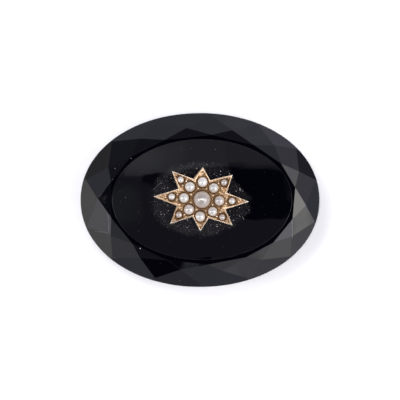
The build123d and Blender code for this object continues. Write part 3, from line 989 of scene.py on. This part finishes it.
# Every grain as a small closed ball end, sitting a little sunk in the field and square to the dome.
def grainShells(firstNumber):
    cap = capPoints(star["grainRings"], star["grainColumns"], -0.3)
    foot, normal = domeNormals(grainPlan)
    size = star["grainRadius"] * (1 + star["grainVariety"] * np.sin(np.arange(len(grainPlan)) * 2.4))
    centres = foot + normal * (fieldLift - star["grainSink"])
    turned = np.einsum("rck,gkx->grcx", cap, framesOn(normal))
    points = centres[:, None, None] + size[:, None, None, None] * turned
    oneShell = quadsBetween(cap.shape[0], cap.shape[1])
    starts = firstNumber + np.arange(len(grainPlan)) * cap.shape[0] * cap.shape[1]
    return points.reshape(-1, 3), (starts[:, None, None] + oneShell[None]).reshape(-1, 4)


goldStar = buildStar()
print("star made with", len(goldStar.data.vertices), "points and", len(grainPlan), "grains")


# Shape of all pearls
pearlShape = {
    "columns": 64,
    "rings": 26,
    "uneven": 0.02,
    "lumpSize": 0.55,
    # painted shade: each pearl is made darker towards its lower side
    "paintedShadeSlope": 0.15,          # how much darker a pearl is at its bottom edge than in the middle
}


# Half ball with a flat back, square to the dome, made slightly uneven by low noise that only takes away.
def buildPearl(name, angle, reach, radius, mauve, shade):
    cap = capPoints(pearlShape["rings"], pearlShape["columns"], 0.0)
    toEdge = 1 - cap[..., 2].ravel()
    seed = 20 + int(angle * 10) % 60
    across, upward = cap[..., 0] + cap[..., 2] * 0.7, cap[..., 1] + cap[..., 2] * 0.4
    lumps = latticeNoise(across, upward, pearlShape["lumpSize"], seed)
    uneven = 1 - pearlShape["uneven"] * (0.5 + 0.5 * lumps) * (1 - cap[..., 2] ** 4)
    cap[..., :2] *= uneven[..., None]
    foot, normal = domeNormals(polar(angle, reach))
    points = foot + normal * (fieldLift - star["seatDepth"] + star["gap"]) + radius * cap @ framesOn(normal)
    # painted shade, darker on the lower side of each pearl
    slope = pearlShape["paintedShadeSlope"] * cap[..., 1].ravel()
    values = {"mauve": mauve, "shade": shade - slope, "edge": toEdge}
    material = centrePearlMaterial if name == "centre_pearl" else pearlMaterial
    faces = quadsBetween(pearlShape["rings"] + 1, pearlShape["columns"])
    piece = makePiece(name + "_nacre", points.reshape(-1, 3), faces, material, "half_pearl", **values)
    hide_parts(name)
    return piece


pearls = [buildPearl(name, *row) for name, row in pearlRows.items()]
print("pearls made:", len(pearls))


# The hidden fitting
fitting = {
    "merge": 0.0001,
    "edgeRound": 0.08,
    "sharpAngle": 25,
}


# The frame's own mesh, with its loose triangles joined and the edges above the sharp angle rounded.
def buildFitting():
    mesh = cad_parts["pin_fitting"].data.copy()
    piece = addPiece("gold_fitting", mesh, fitting["merge"], fittingMaterial)
    softenEdges(piece, 0.5, fitting["edgeRound"], fitting["sharpAngle"])
    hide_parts("pin_fitting")
    return piece


goldFitting = buildFitting()
print("fitting made")

# Floor, light and camera
studio = {
    "cameraHeight": 1500.0,
    "pixel": 0.18418,          # millimetres at the girdle for one pixel of the 400 pixel frame
    "frame": 400,
    "girdle": 5.0,
    "sensor": 36.0,
}
floorFinish = {
    "light": (0.87, 0.87, 0.87, 1),
    "dark": (0.85, 0.85, 0.85, 1),
    "mottle": 60.0,
    "roughness": 0.9,
    "reach": 2.0,              # metres from the middle to each side
}
floorMaterial, floorTree, floorShader = newMaterial("pale floor")
floorClouds = placeGroup(floorTree, mottleGroup, placeInMillimetres(floorTree), floorFinish["mottle"])
floorTone = smoothStep(floorTree, floorClouds, -1.0, 1.0)
floorColour = mixColour(floorTree, floorTone, floorFinish["dark"], floorFinish["light"])
setShader(floorTree, floorShader, Base_Color=floorColour, Roughness=floorFinish["roughness"])
floorMesh = bpy.data.meshes.new("floor")
reach = floorFinish["reach"]
floorCorners = [(-reach, -reach, 0), (reach, -reach, 0), (reach, reach, 0), (-reach, reach, 0)]
floorMesh.from_pydata(floorCorners, [], [(0, 1, 2, 3)])
floorMesh.materials.append(floorMaterial)
floor = bpy.data.objects.new("floor", floorMesh)
bpy.context.scene.collection.objects.link(floor)

camera = bpy.data.objects.new("camera", bpy.data.cameras.new("camera"))
bpy.context.scene.collection.objects.link(camera)
camera.location = (0, 0, (studio["cameraHeight"] + studio["girdle"]) * mm)
camera.data.sensor_width = studio["sensor"]
camera.data.lens = studio["sensor"] * studio["cameraHeight"] / (studio["pixel"] * studio["frame"])
camera.data.clip_end = 10      # metres
bpy.context.scene.camera = camera
bpy.context.scene.view_settings.view_transform = "Standard"

# Soft cards stand where a facet's mirrored direction points. Their places are degrees off straight up, to
# the right and to the top: centre, half size, corner, softness and brightness.
surroundings = (0.56, 0.56, 0.72)
cards = {
    "haze right": ((60, 26), (20, 22), 12, 20, (0.82, 0.82, 0.98)),
    "haze upper left": ((-60, 46), (10, 10), 6, 8, (0.39, 0.39, 0.41)),
    "haze bottom": ((-9, -64), (9, 7), 5, 8, (0.42, 0.41, 0.52)),
    "glow lower right": ((43, -37), (27, 24), 18, 26, (1.75, 1.7, 1.75)),
    "glow left": ((-72, -24), (22, 24), 14, 18, (1.35, 1.3, 1.3)),
    "glow low left": ((-31, -38), (6, 6), 4, 8, (0.76, 0.76, 0.84)),
    "glow beside left": ((-52, -18), (7, 8), 4, 6, (1.65, 1.63, 1.75)),
    "haze low right": ((66, -44), (14, 12), 8, 12, (1.2, 1.2, 1.3)),
    "haze top right": ((43, 70), (25, 13), 10, 14, (0.95, 0.93, 1.15)),
    "softbox right": ((41, -11), (14, 17), 6, 9, (4.6, 4.5, 4.4)),
    "softbox edge": ((36, 20), (8, 8), 5, 8, (2.0, 2.0, 2.1)),
    "softbox foot": ((30, -26), (6, 4), 3, 5, (2.5, 2.5, 2.8)),
    "dark ceiling": ((-1.5, 5), (28.5, 38), 12, 4, (0.122, 0.122, 0.175)),
    "haze upper right": ((26, 38), (5, 5), 3, 5, (0.48, 0.53, 0.66)),
    "glow bottom": ((10, -41), (8, 5), 3, 8, (0.9, 0.88, 0.95)),
    "flag bottom": ((-14.5, -47), (8, 7), 3, 3, (0.015, 0.012, 0.04)),
    "flag top left": ((-36, 43), (12, 10), 4, 4, (0.16, 0.17, 0.22)),
    "flag right": ((72, 43), (13, 12), 4, 5, (0.24, 0.24, 0.32)),
    "glow inner left": ((-28, -24), (8, 6), 4, 5, (0.5, 0.52, 0.6)),
    "glow dome left": ((-20, -3), (4, 9), 3, 8, (0.22, 0.24, 0.29)),
    "panel left": ((-7, 21.7), (13, 10.3), 0.5, 1.0, (0.36, 0.36, 0.42)),
    "panel middle": ((1, 22.6), (6, 9.6), 0.5, 1.2, (0.33, 0.33, 0.39)),
    "panel right": ((15.2, 25.0), (9.2, 7.0), 0.5, 3.0, (0.29, 0.29, 0.35)),
    "panel shine": ((-14, 22), (5, 6), 4, 16, (0.62, 0.63, 0.70)),
    "camera": ((8, 3.2), (13, 12.6), 3, 1.2, (0.005, 0.005, 0.035)),
    "flag bottom edge": ((-0.2, -34.6), (3.3, 3.9), 1, 1, (0.015, 0.012, 0.04)),
    "camera side": ((-9, 10), (5, 3), 2, 2, (0.03, 0.03, 0.06)),
    "strip left": ((-47, -2), (17, 6), 3, 3, (5.0, 5.0, 5.1)),
    "flag left": ((-27, 3), (3.5, 8), 2, 3, (0.045, 0.05, 0.085)),
    "strip right": ((47, -2), (17, 6), 3, 3, (4.6, 4.5, 4.4)),
    "softbox left": ((-38, -9), (5.5, 12), 4, 3, (5.0, 5.0, 5.0)),
}


# Mask of a card with round corners: the distance to the card's edge, smoothed over its softness.
def buildCardGroup():
    inputs = {"Place": None, "Centre": None, "Half size": None, "Corner": 1, "Softness": 1}
    group, end, (place, centre, halfSize, corner, softness) = newGroup("studio card", inputs, "Mask")
    offset = vectorMaths(group, "ABSOLUTE", vectorMaths(group, "SUBTRACT", place, centre))
    beyond = vectorMaths(group, "SUBTRACT", offset, halfSize)
    outside = vectorMaths(group, "LENGTH", vectorMaths(group, "MAXIMUM", beyond, (0, 0, 0)))
    inside = maths(group, "MINIMUM", maths(group, "MAXIMUM", *partsOf(group, beyond)[:2]), 0.0)
    distance = maths(group, "SUBTRACT", plus(group, outside, inside), corner)
    halfSoft = times(group, softness, 0.5)
    feed(group, end, smoothStep(group, distance, halfSoft, times(group, halfSoft, -1.0)))
    return group


# Place on the cards is the flat direction times its degrees off straight up. Each card is mixed over
# those before it by its mask, and the camera itself sees plain white.
def buildStudio():
    world = bpy.data.worlds.new("studio")
    bpy.context.scene.world = world
    world.use_nodes = True
    tree = world.node_tree
    direction = addNode(tree, "ShaderNodeTexCoord").outputs["Generated"]
    flat = vectorMaths(tree, "NORMALIZE", vectorMaths(tree, "MULTIPLY", direction, (1, 1, 0)))
    angle = maths(tree, "DEGREES", maths(tree, "ARCCOSINE", partsOf(tree, direction)[2]))
    place = scaled(tree, flat, angle)
    cardGroup = buildCardGroup()
    colour = (*surroundings, 1)
    for name, (centre, half, corner, softness, brightness) in cards.items():
        core = (half[0] - corner, half[1] - corner, 1000)
        mask = placeGroup(tree, cardGroup, place, (*centre, 0), core, corner, softness)
        colour = mixColour(tree, mask, colour, (*brightness, 1))
        colour.node.label = name
    mirrored = feed(tree, tree.nodes["Background"], colour)
    plain = feed(tree, addNode(tree, "ShaderNodeBackground"), (1, 1, 1, 1))
    cameraRay = addNode(tree, "ShaderNodeLightPath").outputs["Is Camera Ray"]
    choice = feed(tree, addNode(tree, "ShaderNodeMixShader"), cameraRay, mirrored, plain)
    feed(tree, tree.nodes["World Output"], choice)


# A lamp of this width and depth, turned to the middle, that lights only its own pieces.
def addLamp(name, place, size, power, receivers, glossy):
    light = bpy.data.lights.new(name, "AREA")
    light.shape = "ELLIPSE"
    light.size, light.size_y = size
    light.energy = power
    lamp = bpy.data.objects.new(name, light)
    bpy.context.scene.collection.objects.link(lamp)
    lamp.location = place
    lamp.rotation_euler = (-Vector(place)).to_track_quat("-Z", "Y").to_euler()
    lamp.visible_camera = False
    lamp.visible_glossy = glossy
    lamp.light_linking.receiver_collection = receivers


# Collection of the pieces that one lamp lights.
def receivers(name, pieces):
    collection = bpy.data.collections.new(name)
    for piece in pieces:
        collection.objects.link(piece)
    return collection


buildStudio()
lamps = {
    "floor lamp": ((-0.34, 0.42, 0.6), (0.6, 0.6), 3.2, [floor], True),
    "floor fill": ((0.0, 0.0, 1.0), (0.1, 0.1), 3.4, [floor], True),
    "gold lamp": ((0.04, 0.12, 0.6), (0.3, 0.3), 0.52, [goldStar, goldFitting], True),
    "edge lamp left": ((-0.52, 0.05, 0.27), (0.22, 0.22), 0.15, [goldStar], True),
    "edge lamp right": ((0.52, 0.05, 0.27), (0.22, 0.22), 0.5, [goldStar], True),
    "edge lamp top": ((0.05, 0.52, 0.27), (0.22, 0.22), 0.6, [goldStar], True),
    "edge lamp bottom": ((-0.05, -0.52, 0.27), (0.22, 0.22), 0.8, [goldStar], True),
    "pearl lamp": ((0.0, 0.02, 0.6), (0.3, 0.22), 0.50, pearls, True),
    "pearl lamp left": ((-0.54, 0.05, 0.24), (0.3, 0.3), 0.95, pearls, False),
    "pearl lamp right": ((0.54, 0.05, 0.24), (0.3, 0.3), 0.95, pearls, False),
    "pearl lamp top": ((0.05, 0.56, 0.15), (0.3, 0.3), 0.55, pearls, False),
    "pearl lamp bottom": ((-0.05, -0.56, 0.15), (0.3, 0.3), 0.45, pearls, False),
    "centre pearl left": ((-0.17, 0.02, 0.55), (0.18, 0.24), 0.7, pearls[:1], True),
    "centre pearl right": ((0.13, 0.02, 0.55), (0.14, 0.2), 0.8, pearls[:1], True),
}
for name, (place, size, power, pieces, glossy) in lamps.items():
    addLamp(name, place, size, power, receivers(name, pieces), glossy)
print("studio made of", len(cards), "cards")
